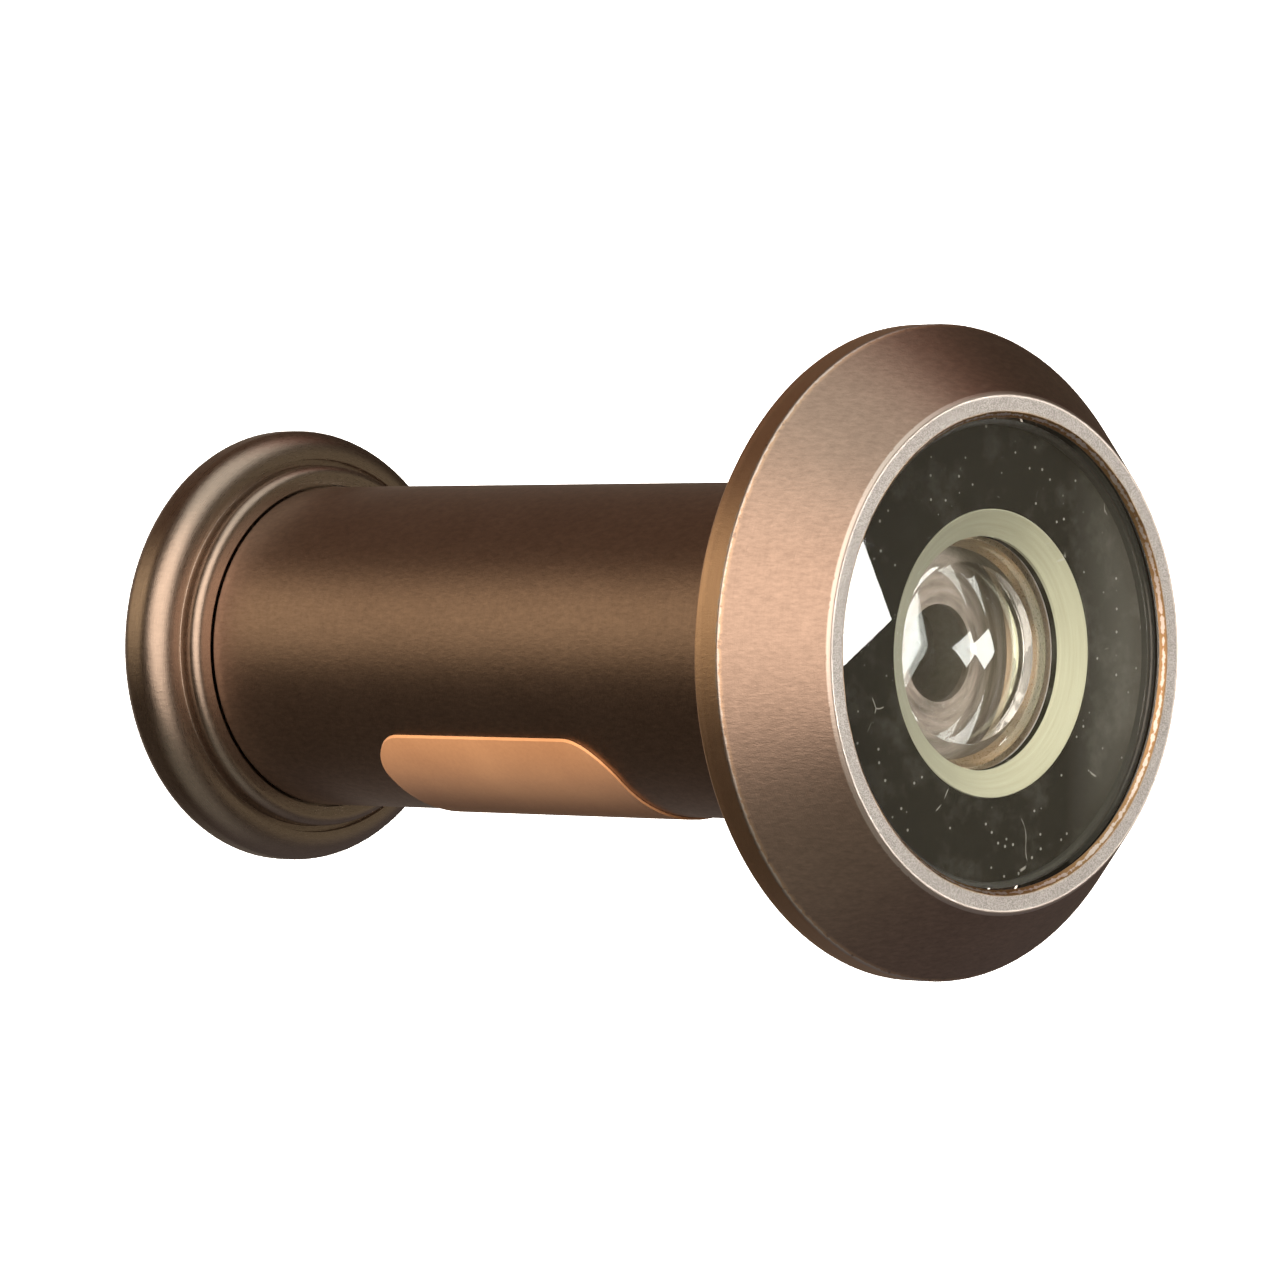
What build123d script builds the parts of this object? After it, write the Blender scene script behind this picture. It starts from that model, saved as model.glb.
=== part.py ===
from build123d import *
import math
import os

# Door viewer for a 14 mm hole, drawn at its shortest, as it clamps the thinnest door.
# The barrel axis is Y: the glass looks towards -Y, the room is at +Y, and Z is up.
# The origin is on the axis, in the plane of the front flange's door face.
# A turned piece is half a section in the XY plane, where X is the radius, revolved about Y.
# Sizes are in millimetres. Names that end in _r are radii, and in _y places along the axis.

# Barrel and front flange
barrel_r = 7.0
barrel_length = 35.4
flange_r = 13.3
flange_rim = 1.3
flange_height = 4.7
edge_break = 0.15

# Cover glass, the edge rolled over it and the gasket behind it
cover_r = 9.57
cover_thickness = 0.7
cover_fit = 0.05
cover_overlap = 0.09
rolled_edge = 0.22
silver_ring_width = 0.7
pocket_floor = 1.2
gasket_width = 0.37
gasket_height = 0.4

# Lens holder and ivory collar
cell_wall = 1.35
holder_fit = 0.05
holder_wall = 0.7
holder_lip = 0.18
holder_margin = 1.0
lens_fit = 0.05
collar_width = 1.1
collar_fall = 0.59
collar_height = 0.75
collar_fit = 0.02
cover_to_collar = 0.32

# Lens stack, front to back
cover_to_dome = 0.1
objective_front_land = 0.15
objective_dome = 1.276
objective_rim = 1.254
objective_back_land = 1.45
objective_hollow = 0.8
spacer_thickness = 0.53
spacer_wall = 0.55
spacer_cone = 0.5
second_rim = 0.72
second_land = 0.85
second_hollow = 0.07
stop_thickness = 0.3
stop_hole_r = 1.9
third_rim = 0.4
third_land = 1.05
third_dome = 0.7
clamp_thickness = 1.2
clamp_clearance = 0.1
spanner_width = 1.0
spanner_depth = 0.5

# Screw fit between the halves: plain cylinders at the thread's outer diameter
barrel_wall = 0.95
thread_fit = 0.05
sleeve_wall = 1.4
bore_step = 2.8
sleeve_start = 0.3
relief_depth = 0.3
relief_width = 1.2
lead_in = 0.4

# Rear flange
end_gap = 0.05
end_recess = 0.5
seat_fit = 0.1
seat_width = 0.4
bead_round = 0.45
bead_width = 0.8
cove_width = 0.3
cove_depth = 0.22
rear_swell = 1.25
shoulder_width = 1.3
rear_rim = 0.5
rear_round = 0.75
slot_width = 1.8
slot_depth = 1.2
slot_margin = 1.1

# Eyepiece
eyepiece_step = 0.7
eyepiece_pocket_depth = 3.25
eyepiece_lens_fit = 0.1
eyepiece_float = 0.06
eyepiece_rim = 1.0
eyepiece_front_dome = 0.45
eyepiece_back_dome = 0.75
dome_clearance = 0.1
eyepiece_land = 1.2
ring_fit = 0.02
ring_mouth_land = 0.48
ring_lip = 0.5
ring_sunk = 0.35

# Label under the barrel
label_start = 12.8
label_length = 14.0
label_height = 10.0
label_thickness = 0.1
label_corner = 2.0
label_glue = 0.02
label_top_angle = 32.5

# Places along the axis, front to back
face_y = -flange_height
cover_front_y = face_y + rolled_edge
cover_back_y = cover_front_y + cover_thickness
holder_front_y = cover_back_y + gasket_height
collar_front_y = cover_back_y + cover_to_collar
collar_back_y = collar_front_y + collar_height
dome_y = cover_back_y + cover_to_dome
objective_front_y = dome_y + objective_dome
objective_back_y = objective_front_y + objective_rim
spacer_back_y = objective_back_y + spacer_thickness
second_back_y = spacer_back_y + second_rim
stop_back_y = second_back_y + stop_thickness
third_rim_y = stop_back_y + third_rim
clamp_back_y = third_rim_y + clamp_thickness
holder_end_y = clamp_back_y + holder_margin
bore_step_y = holder_end_y + bore_step
sleeve_front_y = bore_step_y + sleeve_start
seat_y = barrel_length + end_gap
recess_y = seat_y + end_recess
bead_back_y = seat_y + bead_width
shoulder_y = bead_back_y + shoulder_width
rear_rim_y = shoulder_y + rear_rim
rear_face_y = rear_rim_y + rear_round
eyepiece_shoulder_y = rear_face_y - eyepiece_pocket_depth
eyepiece_front_y = eyepiece_shoulder_y + eyepiece_float
eyepiece_back_y = eyepiece_front_y + eyepiece_rim
ring_front_y = eyepiece_back_y + eyepiece_float
ring_back_y = rear_face_y - ring_sunk

# Radii of the glass face, from the cover glass outwards and inwards
pocket_r = cover_r + cover_fit
glass_view_r = cover_r - cover_overlap
silver_inner_r = glass_view_r + rolled_edge
silver_ring_r = silver_inner_r + silver_ring_width
holder_flange_r = pocket_r - holder_fit
gasket_inner_r = holder_flange_r - gasket_width

# Radii of the lens stack, from the barrel inwards
holder_bore_r = barrel_r - cell_wall
spigot_r = holder_bore_r - holder_fit
lens_bore_r = spigot_r - holder_wall
lens_r = lens_bore_r - lens_fit
holder_mouth_r = lens_bore_r - holder_lip
collar_r = holder_mouth_r + collar_width
collar_seat_r = collar_r + collar_fit
objective_front_r = lens_r - objective_front_land
objective_back_r = lens_r - objective_back_land
spacer_mouth_r = lens_r - spacer_wall
spacer_throat_r = spacer_mouth_r - spacer_cone
second_hollow_r = lens_r - second_land
third_dome_r = lens_r - third_land
clamp_bore_r = third_dome_r + clamp_clearance

# Radii of the sleeve and eyepiece, from the barrel inwards
thread_bore_r = barrel_r - barrel_wall
thread_r = thread_bore_r - thread_fit
sleeve_bore_r = thread_r - sleeve_wall
eyepiece_pocket_r = sleeve_bore_r + eyepiece_step
eyepiece_lens_r = eyepiece_pocket_r - eyepiece_lens_fit
eyepiece_front_r = sleeve_bore_r - 2 * dome_clearance
eyepiece_back_r = eyepiece_lens_r - eyepiece_land
ring_bore_r = eyepiece_back_r + dome_clearance
ring_r = eyepiece_pocket_r - ring_fit
ring_mouth_r = ring_r - ring_mouth_land

# Radii of the rear flange, from the barrel outwards
seat_inner_r = barrel_r + seat_fit
bead_r = seat_inner_r + seat_width + bead_round
cove_r = bead_r + cove_width
rear_flange_r = cove_r + rear_swell
slot_reach = rear_flange_r - slot_margin

os.makedirs("parts", exist_ok=True)


def rings(turned, radius, place):
    """The round edges of a turned piece that have this radius, at this place on the axis."""
    edges = turned.edges().filter_by(GeomType.CIRCLE)
    return [e for e in edges if math.hypot(e.radius - radius, e.arc_center.Y - place) < 0.001]


def finish(piece, name):
    """Label a finished piece and write its file."""
    piece.label = name
    export_step(piece, f"parts/{name}.step")


# Outer barrel: bevelled flange, glass pocket and smooth barrel, turned from one bar
with BuildPart() as outer_barrel:
    with BuildSketch(Plane.XY):
        with BuildLine():
            Polyline(
                (glass_view_r, cover_front_y),
                (silver_inner_r, face_y),
                (silver_ring_r, face_y),
                (flange_r, -flange_rim),
                (flange_r, 0),
                (barrel_r, 0),
                (barrel_r, barrel_length),
                (thread_bore_r, barrel_length),
                (thread_bore_r, bore_step_y + relief_width),
                (thread_bore_r + relief_depth, bore_step_y + relief_width),
                (thread_bore_r + relief_depth, bore_step_y),
                (holder_bore_r, bore_step_y),
                (holder_bore_r, -pocket_floor),
                (pocket_r, -pocket_floor),
                (pocket_r, cover_front_y),
                close=True,
            )
        make_face()
    revolve(axis=Axis.Y)
    fillet(rings(outer_barrel, flange_r, -flange_rim), edge_break)
    fillet(rings(outer_barrel, flange_r, 0), edge_break)
    fillet(rings(outer_barrel, silver_ring_r, face_y), edge_break / 2)
    chamfer(rings(outer_barrel, thread_bore_r, barrel_length), edge_break)
finish(outer_barrel.part, "outer_barrel")

# Cover glass, trapped by the rolled edge
with BuildPart() as front_glass:
    with BuildSketch(Plane.XY):
        with Locations((0, cover_front_y)):
            Rectangle(cover_r, cover_thickness, align=Align.MIN)
    revolve(axis=Axis.Y)
    chamfer(rings(front_glass, cover_r, cover_back_y), edge_break)
finish(front_glass.part, "front_glass")

# Rubber ring that carries the edge of the cover glass
with BuildPart() as glass_gasket:
    with BuildSketch(Plane.XY):
        with Locations((gasket_inner_r, cover_back_y)):
            Rectangle(holder_flange_r - gasket_inner_r, gasket_height, align=Align.MIN)
    revolve(axis=Axis.Y)
    fillet(rings(glass_gasket, gasket_inner_r, cover_back_y), edge_break)
finish(glass_gasket.part, "glass_gasket")

# Lens holder: the dark cone behind the glass, the lip in front of the lenses and the tube round them
with BuildPart() as lens_holder:
    with BuildSketch(Plane.XY):
        with BuildLine():
            Polyline(
                (collar_seat_r, collar_front_y),
                (gasket_inner_r - edge_break, holder_front_y),
                (holder_flange_r, holder_front_y),
                (holder_flange_r, -pocket_floor),
                (spigot_r, -pocket_floor),
                (spigot_r, holder_end_y),
                (lens_bore_r, holder_end_y),
                (lens_bore_r, objective_front_y),
                (holder_mouth_r, objective_front_y),
                (holder_mouth_r, collar_back_y),
                (collar_seat_r, collar_back_y),
                close=True,
            )
        make_face()
    revolve(axis=Axis.Y)
    chamfer(rings(lens_holder, spigot_r, holder_end_y), edge_break)
finish(lens_holder.part, "lens_holder")

# Ivory funnel in front of the first lens
with BuildPart() as lens_collar:
    with BuildSketch(Plane.XY):
        with BuildLine():
            Polyline(
                (holder_mouth_r, collar_front_y + collar_fall),
                (collar_r, collar_front_y),
                (collar_r, collar_back_y),
                (holder_mouth_r, collar_back_y),
                close=True,
            )
        make_face()
    revolve(axis=Axis.Y)
finish(lens_collar.part, "lens_collar")

# First lens: domed in front and hollow behind
with BuildPart() as objective_lens:
    with BuildSketch(Plane.XY):
        with BuildLine():
            dome = TangentArc((0, dome_y), (objective_front_r, objective_front_y), tangent=(1, 0))
            hollow = TangentArc(
                (0, objective_back_y - objective_hollow),
                (objective_back_r, objective_back_y),
                tangent=(1, 0),
            )
            Polyline(
                dome @ 1,
                (lens_r, objective_front_y),
                (lens_r, objective_back_y),
                hollow @ 1,
            )
            Line(dome @ 0, hollow @ 0)
        make_face()
    revolve(axis=Axis.Y)
finish(objective_lens.part, "objective_lens")

# Brass spacer, coned towards the glass
with BuildPart() as lens_spacer:
    with BuildSketch(Plane.XY):
        with BuildLine():
            Polyline(
                (spacer_mouth_r, objective_back_y),
                (lens_r, objective_back_y),
                (lens_r, spacer_back_y),
                (spacer_throat_r, spacer_back_y),
                close=True,
            )
        make_face()
    revolve(axis=Axis.Y)
finish(lens_spacer.part, "lens_spacer")

# Second lens: a shallow hollow towards the first, and a flat back
with BuildPart() as second_lens:
    with BuildSketch(Plane.XY):
        with BuildLine():
            hollow = TangentArc(
                (0, spacer_back_y + second_hollow),
                (second_hollow_r, spacer_back_y),
                tangent=(1, 0),
            )
            Polyline(
                hollow @ 1,
                (lens_r, spacer_back_y),
                (lens_r, second_back_y),
                (0, second_back_y),
                hollow @ 0,
            )
        make_face()
    revolve(axis=Axis.Y)
finish(second_lens.part, "second_lens")

# Disc whose hole is the dark pupil
with BuildPart() as field_stop:
    with BuildSketch(Plane.XY):
        with Locations((stop_hole_r, second_back_y)):
            Rectangle(lens_r - stop_hole_r, stop_thickness, align=Align.MIN)
    revolve(axis=Axis.Y)
finish(field_stop.part, "field_stop")

# Third lens: flat towards the disc, domed towards the room
with BuildPart() as third_lens:
    with BuildSketch(Plane.XY):
        with BuildLine():
            dome = TangentArc(
                (0, third_rim_y + third_dome), (third_dome_r, third_rim_y), tangent=(1, 0)
            )
            Polyline(
                dome @ 1,
                (lens_r, third_rim_y),
                (lens_r, stop_back_y),
                (0, stop_back_y),
                dome @ 0,
            )
        make_face()
    revolve(axis=Axis.Y)
finish(third_lens.part, "third_lens")

# Ring that clamps the stack from behind, with two notches for a pin spanner
with BuildPart() as lens_clamp_ring:
    with BuildSketch(Plane.XY):
        with Locations((clamp_bore_r, third_rim_y)):
            Rectangle(lens_r - clamp_bore_r, clamp_thickness, align=Align.MIN)
    revolve(axis=Axis.Y)
    with BuildSketch(Plane.XZ.offset(-clamp_back_y)):
        Rectangle(4 * lens_r, spanner_width)
    extrude(amount=spanner_depth, mode=Mode.SUBTRACT)
finish(lens_clamp_ring.part, "lens_clamp_ring")

# Rear sleeve: the tube that screws into the barrel, and the flange against the room side
with BuildPart() as rear_sleeve:
    with BuildSketch(Plane.XY):
        with BuildLine():
            front = Polyline(
                (sleeve_bore_r, sleeve_front_y),
                (thread_r - lead_in, sleeve_front_y),
                (thread_r, sleeve_front_y + lead_in),
                (thread_r, recess_y - relief_width),
                (thread_r - relief_depth, recess_y - relief_width),
                (thread_r - relief_depth, recess_y),
                (seat_inner_r, recess_y),
                (seat_inner_r, seat_y),
                (bead_r - bead_round, seat_y),
            )
            bead = TangentArc(front @ 1, (bead_r, seat_y + bead_round), tangent=(1, 0))
            cove = Polyline(
                bead @ 1,
                (bead_r, bead_back_y + cove_depth),
                (cove_r, bead_back_y + cove_depth),
                (cove_r, bead_back_y),
            )
            swell = TangentArc(cove @ 1, (rear_flange_r, shoulder_y), tangent=(1, 0))
            rim = Line(swell @ 1, (rear_flange_r, rear_rim_y))
            back = TangentArc(rim @ 1, (rear_flange_r - rear_round, rear_face_y), tangent=(0, 1))
            Polyline(
                back @ 1,
                (eyepiece_pocket_r, rear_face_y),
                (eyepiece_pocket_r, eyepiece_shoulder_y),
                (sleeve_bore_r, eyepiece_shoulder_y),
                front @ 0,
            )
        make_face()
    revolve(axis=Axis.Y)
    with BuildSketch(Plane.XZ.offset(-rear_face_y)):
        SlotOverall(2 * slot_reach, slot_width)
    extrude(amount=slot_depth, mode=Mode.SUBTRACT)
finish(rear_sleeve.part, "rear_sleeve")

# Eyepiece lens, domed on both sides, loose in its pocket
with BuildPart() as eyepiece_lens:
    with BuildSketch(Plane.XY):
        with BuildLine():
            room_dome = TangentArc(
                (0, eyepiece_back_y + eyepiece_back_dome),
                (eyepiece_back_r, eyepiece_back_y),
                tangent=(1, 0),
            )
            door_dome = TangentArc(
                (0, eyepiece_front_y - eyepiece_front_dome),
                (eyepiece_front_r, eyepiece_front_y),
                tangent=(1, 0),
            )
            Polyline(
                room_dome @ 1,
                (eyepiece_lens_r, eyepiece_back_y),
                (eyepiece_lens_r, eyepiece_front_y),
                door_dome @ 1,
            )
            Line(door_dome @ 0, room_dome @ 0)
        make_face()
    revolve(axis=Axis.Y)
finish(eyepiece_lens.part, "eyepiece_lens")

# Eyepiece ring with a flared mouth and two spanner notches
with BuildPart() as eyepiece_ring:
    with BuildSketch(Plane.XY):
        with BuildLine():
            Polyline(
                (ring_bore_r, ring_front_y),
                (ring_r, ring_front_y),
                (ring_r, ring_back_y),
                (ring_mouth_r, ring_back_y),
                (ring_bore_r, ring_front_y + ring_lip),
                close=True,
            )
        make_face()
    revolve(axis=Axis.Y)
    with BuildSketch(Plane.XZ.offset(-ring_back_y)):
        Rectangle(spanner_width, 4 * ring_r)
    extrude(amount=spanner_depth, mode=Mode.SUBTRACT)
finish(eyepiece_ring.part, "eyepiece_ring")

# Paper label glued round the underside of the barrel
label_inner_r = barrel_r + label_glue
label_outer_r = label_inner_r + label_thickness
half_arc = label_height / barrel_r / 2
middle = math.radians(label_top_angle) + half_arc
label_out = Vector(-math.cos(middle), 0, -math.sin(middle))
label_plane = Plane(origin=(0, 0, 0), x_dir=Vector(0, 1, 0).cross(label_out), z_dir=label_out)
with BuildPart() as barrel_label:
    with BuildSketch(Plane.XY):
        with Locations((label_inner_r, label_start)):
            Rectangle(label_thickness, label_length, align=Align.MIN)
    revolve(axis=Axis.Y)
    with BuildSketch(label_plane):
        with Locations((0, label_start + label_length / 2)):
            RectangleRounded(2 * label_outer_r * math.sin(half_arc), label_length, label_corner)
    extrude(amount=2 * barrel_r, mode=Mode.INTERSECT)
finish(barrel_label.part, "barrel_label")

print("drawn for doors from", barrel_length, "mm; sleeve held in the thread over", end=" ")
print(round(barrel_length - sleeve_front_y, 2), "mm at its shortest")
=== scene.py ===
"""Looks for the door viewer: two bronze plated halves, the glass face, the lens stack and the label.

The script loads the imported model, replaces the turned pieces by finer ones with the real thread, dresses
every piece, and sets up the studio. Sizes in the pieces are in millimetres, meshes are in metres.
"""

import logging
import math
from dataclasses import dataclass, field
from enum import Enum
from typing import Callable, Mapping, Sequence, Union

import bmesh
import bpy
from mathutils import Matrix, Vector, noise


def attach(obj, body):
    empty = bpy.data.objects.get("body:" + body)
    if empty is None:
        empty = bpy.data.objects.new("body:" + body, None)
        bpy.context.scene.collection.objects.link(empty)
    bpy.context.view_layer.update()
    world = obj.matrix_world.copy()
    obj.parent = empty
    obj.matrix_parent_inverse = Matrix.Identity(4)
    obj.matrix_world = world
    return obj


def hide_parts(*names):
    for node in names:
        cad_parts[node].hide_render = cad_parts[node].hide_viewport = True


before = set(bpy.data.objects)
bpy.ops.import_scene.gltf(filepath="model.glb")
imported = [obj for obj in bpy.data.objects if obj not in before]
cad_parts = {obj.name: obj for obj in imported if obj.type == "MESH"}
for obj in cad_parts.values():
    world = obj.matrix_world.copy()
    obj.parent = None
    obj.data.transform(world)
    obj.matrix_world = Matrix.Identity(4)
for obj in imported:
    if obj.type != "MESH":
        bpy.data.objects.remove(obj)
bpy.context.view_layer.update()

log = logging.getLogger("door_viewer")

Node = bpy.types.Node
Socket = bpy.types.NodeSocket
Material = bpy.types.Material
Piece = bpy.types.Object
Point = tuple[float, float]
Triple = tuple[float, float, float]
Colour = Triple
Value = Union[float, tuple, Vector, Socket, "Number"]
Inputs = Mapping[Union[str, int], Value]

MM = 0.001
PHOTO_SIZE = 1280
# Edges that bend more than this many degrees stay sharp.
SHARP_BEND = 32.0
# The step beside a rounded corner that keeps the shading of the flats level, in millimetres.
FLAT_KEEPER = 0.012
# The depth of the grain's bump, in metres.
GRAIN_DEPTH = 0.00002
# The part of its range that a noise mostly takes.
MIDDLE = (0.3, 0.7)
# Where the bevel ends and the silver face of the crimp begins, in metres along the axis.
FACE_PLANE = (-0.00462, -0.00466)
# Where the painted light on the +X side of the lens holder begins and is full, in metres across.
PAINTED_LIGHT_SIDE = (0.0045, 0.0095)


class Body(Enum):
    """The CAD bodies that pieces ride on."""

    BARREL = "barrel"
    EYEPIECE = "eyepiece"
    SLEEVE = "sleeve"


class Slot(Enum):
    """The record's material slots."""

    PLATE = "bronze_plate"
    COVER = "cover_glass"
    LENS = "lens_glass"
    RUBBER = "black_rubber"
    BLACK = "black_moulding"
    IVORY = "ivory_moulding"
    BRASS = "plain_brass"
    DULL = "dull_brass"
    BLACKENED = "blackened_metal"
    PAPER = "label_paper"


class Number:
    """A number that a node gives, with the plain signs for sums."""

    def __init__(self, tree: "Tree", socket: Socket) -> None:
        """Hold the socket and its tree."""
        self.tree, self.socket = tree, socket

    def __add__(self, other: Value) -> "Number":
        """Return the sum."""
        return self.tree.math("ADD", self, other)

    def __sub__(self, other: Value) -> "Number":
        """Return the difference."""
        return self.tree.math("SUBTRACT", self, other)

    def __rsub__(self, other: float) -> "Number":
        """Return the difference from a plain number."""
        return self.tree.math("SUBTRACT", other, self)

    def __mul__(self, other: Value) -> "Number":
        """Return the product."""
        return self.tree.math("MULTIPLY", self, other)

    def __truediv__(self, other: Value) -> "Number":
        """Return the quotient."""
        return self.tree.math("DIVIDE", self, other)


Numbers = Mapping[str, Number]


class Rays(Enum):
    """The rays that a thing of the studio is shown to."""

    CAMERA = "camera"
    DIFFUSE = "diffuse"
    GLOSSY = "glossy"
    TRANSMISSION = "transmission"
    SHADOW = "shadow"


class Tree:
    """A node tree, with short calls that add a node and join it up."""

    def __init__(self, tree: bpy.types.NodeTree) -> None:
        """Wrap an empty node tree.

        Args:
            tree: The tree of a material, a world or a node group.
        """
        self.tree = tree
        self.column = 0

    @classmethod
    def of(cls, owner: Union[Material, bpy.types.World]) -> "Tree":
        """Return the emptied node tree of a material or a world."""
        owner.use_nodes = True
        owner.node_tree.nodes.clear()
        return cls(owner.node_tree)

    def feed(self, socket: Socket, value: Value) -> None:
        """Join an input to a socket, or set it to a plain value.

        Args:
            socket: The input.
            value: What it takes. A colour comes without its alpha.
        """
        value = value.socket if isinstance(value, Number) else value
        if isinstance(value, Socket):
            self.tree.links.new(value, socket)
        elif socket.type == "RGBA":
            socket.default_value = (*value, 1.0)
        else:
            socket.default_value = value

    def add(self, kind: str, values: Inputs | None = None, **settings: object) -> Node:
        """Add a node.

        Args:
            kind: The node's type name.
            values: Its inputs, by name or number. A socket is joined, anything else is set.
            settings: The node's own settings.

        Returns:
            The new node.
        """
        node = self.tree.nodes.new(kind)
        self.column += 1
        node.location = (self.column * 60.0, -(self.column % 7) * 120.0)
        for name, setting in settings.items():
            setattr(node, name, setting)
        for name, value in (values or {}).items():
            self.feed(node.inputs[name], value)
        return node

    def outputs(self, kind: str, values: Inputs | None = None, **settings: object) -> Numbers:
        """Add a node, and return its outputs by name."""
        return {s.name: Number(self, s) for s in self.add(kind, values, **settings).outputs}

    def number(self, kind: str, values: Inputs, **settings: object) -> Number:
        """Add a node, and return its first output."""
        return Number(self, self.add(kind, values, **settings).outputs[0])

    def end(self, kind: str, values: Inputs, output: str = "ShaderNodeOutputMaterial") -> None:
        """End the tree in a shader with these inputs."""
        self.add(output, {"Surface": self.add(kind, values).outputs[0]})

    def math(self, operation: str, a: Value, b: Value = 0.0) -> Number:
        """Return the result of one sum on numbers."""
        return self.number("ShaderNodeMath", {0: a, 1: b}, operation=operation)

    def hypot(self, a: Number, b: Number) -> Number:
        """Return the root of the sum of two squares."""
        return self.math("SQRT", a * a + b * b)

    def spot(self) -> Socket:
        """Return the place on the object."""
        return self.add("ShaderNodeTexCoord").outputs["Object"]

    def parts(self, vector: Value) -> list[Number]:
        """Return the three numbers of a vector or a colour."""
        return list(self.outputs("ShaderNodeSeparateXYZ", {0: vector}).values())

    def vector(self, x: Value, y: Value, z: Value) -> Socket:
        """Return the vector of three numbers."""
        return self.add("ShaderNodeCombineXYZ", {0: x, 1: y, 2: z}).outputs[0]

    def times(self, colour: Value, factor: Value) -> Socket:
        """Return a colour multiplied by a number or another colour."""
        values = {0: 1.0, 1: colour, 2: factor}
        return self.add("ShaderNodeMixRGB", values, blend_type="MULTIPLY").outputs[0]

    def mix(self, share: Value, a: Value, b: Value, blend: str = "MIX") -> Socket:
        """Return two colours joined.

        Args:
            share: How much of the second one there is.
            a: The first colour.
            b: The second colour.
            blend: The way they are joined.

        Returns:
            The joined colour.
        """
        node = self.add("ShaderNodeMix", {"Factor": share}, data_type="RGBA", blend_type=blend)
        self.feed(node.inputs[6], a)
        self.feed(node.inputs[7], b)
        return node.outputs[2]

    def spread(self, value: Value, low: float, high: float, to_low: float = 0.0, to_high: float = 1.0,
               smooth: bool = False) -> Number:
        """Return a value moved from one range to another, and kept in it.

        Args:
            value: The value.
            low: Where its range begins.
            high: Where its range ends.
            to_low: Where the new range begins.
            to_high: Where the new range ends.
            smooth: True for a soft begin and end.

        Returns:
            The moved value.
        """
        kind = "SMOOTHSTEP" if smooth else "LINEAR"
        values = {"Value": value, "From Min": low, "From Max": high, "To Min": to_low, "To Max": to_high}
        return self.number("ShaderNodeMapRange", values, interpolation_type=kind)

    def noise(self, place: Value, scale: Value, detail: float = 2.0, roughness: float = 0.5,
              w: Value | None = None) -> Number:
        """Return soft noise.

        Args:
            place: Where it is read.
            scale: How many bumps there are to a unit.
            detail: How many finer layers it has.
            roughness: How strong the finer layers are.
            w: The place in the fourth dimension, where it has one.

        Returns:
            The noise, mostly between 0.3 and 0.7.
        """
        values = {"Vector": place, "Scale": scale, "Detail": detail, "Roughness": roughness}
        if w is not None:
            values["W"] = w
        kind = "3D" if w is None else "4D"
        return self.number("ShaderNodeTexNoise", values, noise_dimensions=kind)


class Group:
    """A shader node group that is built once and placed in several materials."""

    def __init__(self, name: str, inputs: Mapping[str, float],
                 build: Callable[[Tree, Numbers], Numbers]) -> None:
        """Build the group.

        Args:
            name: The group's name.
            inputs: Its inputs with their first values.
            build: Makes the nodes from the tree and the inputs, and returns the socket for each output.
        """
        self.tree = bpy.data.node_groups.new(name, "ShaderNodeTree")
        sockets = self.tree.interface
        for label, value in inputs.items():
            socket = sockets.new_socket(label, in_out="INPUT", socket_type="NodeSocketFloat")
            socket.default_value = value
        tree = Tree(self.tree)
        outputs = build(tree, tree.outputs("NodeGroupInput"))
        for label in outputs:
            sockets.new_socket(label, in_out="OUTPUT", socket_type="NodeSocketFloat")
        tree.add("NodeGroupOutput", outputs)

    def place(self, tree: Tree, **values: Value) -> Numbers:
        """Place the group in a material with its own values, and return its outputs."""
        return tree.outputs("ShaderNodeGroup", values, node_tree=self.tree)


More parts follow.
